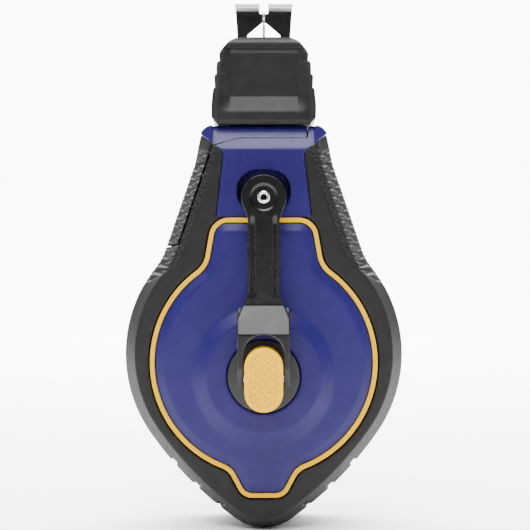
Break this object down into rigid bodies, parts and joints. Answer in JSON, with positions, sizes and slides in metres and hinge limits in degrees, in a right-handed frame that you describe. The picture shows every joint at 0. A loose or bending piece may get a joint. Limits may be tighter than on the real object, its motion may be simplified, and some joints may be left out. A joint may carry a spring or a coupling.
{
  "type": "chalk line reel",
  "caption": "Geared chalk line reel with a folding crank, clutch release button, hinged fill lid, rubber nose and a line hook.",
  "frame": {"origin": "centre of the spool's axis on the flat back face", "axes": "+Y out of the back along the spool's axis, +Z along the neck to the hook, -Y the crank side"},
  "size_m": [0.113, 0.0615, 0.2158],
  "materials": {
    "shell_blue": "fine spark-textured moulded ABS",
    "grip_black": "matte moulded TPE",
    "trim_yellow": "smooth moulded",
    "button_yellow": "smooth moulded",
    "steel_black": "satin black coated steel",
    "steel_bright": "zinc plated",
    "hub_black": "moulded nylon",
    "spool_grey": "moulded nylon",
    "gear_white": "acetal",
    "bronze": "sintered bronze",
    "line_white": "braided polyester line, dusted with chalk",
    "felt_grey": "felt",
    "seal_foam": "closed-cell foam"
  },
  "bodies": {
    "housing": {"rear_shell": "shell_blue", "front_shell": "shell_blue", "rear_grip": "grip_black", "front_grip": "grip_black", "gear_cover": "shell_blue", "cover_trim": "trim_yellow", "case_screws": "steel_bright", "cover_screws": "steel_bright", "lid_hinge_pin": "steel_bright", "line_run": "line_white", "spool_axle": "steel_bright", "spool_washer": "steel_bright", "axle_clip": "steel_bright", "ring_gear": "gear_white", "hub_bush": "bronze"},
    "lid": {"fill_lid": "shell_blue", "lid_grip": "grip_black", "nose_cap": "grip_black", "felt_wiper": "felt_grey", "line_nozzle": "steel_bright", "lid_seal": "seal_foam"},
    "hook": {"hook": "steel_bright", "line_clip": "steel_bright", "line_lead": "line_white"},
    "spool": {"spool": "spool_grey", "spool_bush": "bronze", "line_winding": "line_white", "sun_gear": "gear_white"},
    "drive": {"crank_hub": "hub_black", "planet_carrier": "spool_grey", "planet_pins": "steel_bright", "hinge_pins": "steel_bright", "button_spring": "steel_bright"},
    "planet_1": {"planet_gear_1": "gear_white"},
    "planet_2": {"planet_gear_2": "gear_white"},
    "planet_3": {"planet_gear_3": "gear_white"},
    "button": {"release_button": "button_yellow", "clutch_dog": "hub_black"},
    "crank": {"crank_arm": "steel_black", "knob_rivet": "steel_bright"},
    "knob": {"crank_knob": "hub_black"}
  },
  "joints": [
    {"name": "crank_turn", "type": "hinge", "parent": "housing", "child": "drive", "pos_m": [0, 0, 0], "axis": [0, 1, 0], "continuous": true},
    {"name": "spool_turn", "type": "hinge", "parent": "housing", "child": "spool", "pos_m": [0, 0, 0], "axis": [0, 1, 0], "continuous": true},
    {"name": "planet_spin_1", "type": "hinge", "parent": "drive", "child": "planet_1", "pos_m": [0, 0, 0.018], "axis": [0, 1, 0], "continuous": true},
    {"name": "planet_spin_2", "type": "hinge", "parent": "drive", "child": "planet_2", "pos_m": [-0.01559, 0, -0.009], "axis": [0, 1, 0], "continuous": true},
    {"name": "planet_spin_3", "type": "hinge", "parent": "drive", "child": "planet_3", "pos_m": [0.01559, 0, -0.009], "axis": [0, 1, 0], "continuous": true},
    {"name": "button_push", "type": "slide", "parent": "drive", "child": "button", "axis": [0, 1, 0], "range_m": [0, 0.003], "stiffness_N_per_m": 600, "springref_m": -0.004, "deforming": ["button_spring"]},
    {"name": "crank_fold", "type": "hinge", "parent": "drive", "child": "crank", "pos_m": [0, -0.0545, 0], "axis": [1, 0, 0], "range_deg": [0, 180]},
    {"name": "knob_spin", "type": "hinge", "parent": "crank", "child": "knob", "pos_m": [0, -0.0545, 0.0713], "axis": [0, 1, 0], "continuous": true},
    {"name": "lid_open", "type": "hinge", "parent": "housing", "child": "lid", "pos_m": [0.0228, -0.021, 0.0988], "axis": [0, 1, 0], "range_deg": [0, 80]},
    {"name": "hook_pull", "type": "slide", "parent": "lid", "child": "hook", "axis": [0, 0, 1], "range_m": [0, 0.03]}
  ],
  "couplings": [
    {"joint": "spool_turn", "follows": "crank_turn", "ratio": 3},
    {"joint": "planet_spin_1", "follows": "crank_turn", "ratio": -4},
    {"joint": "planet_spin_2", "follows": "crank_turn", "ratio": -4},
    {"joint": "planet_spin_3", "follows": "crank_turn", "ratio": -4}
  ]
}
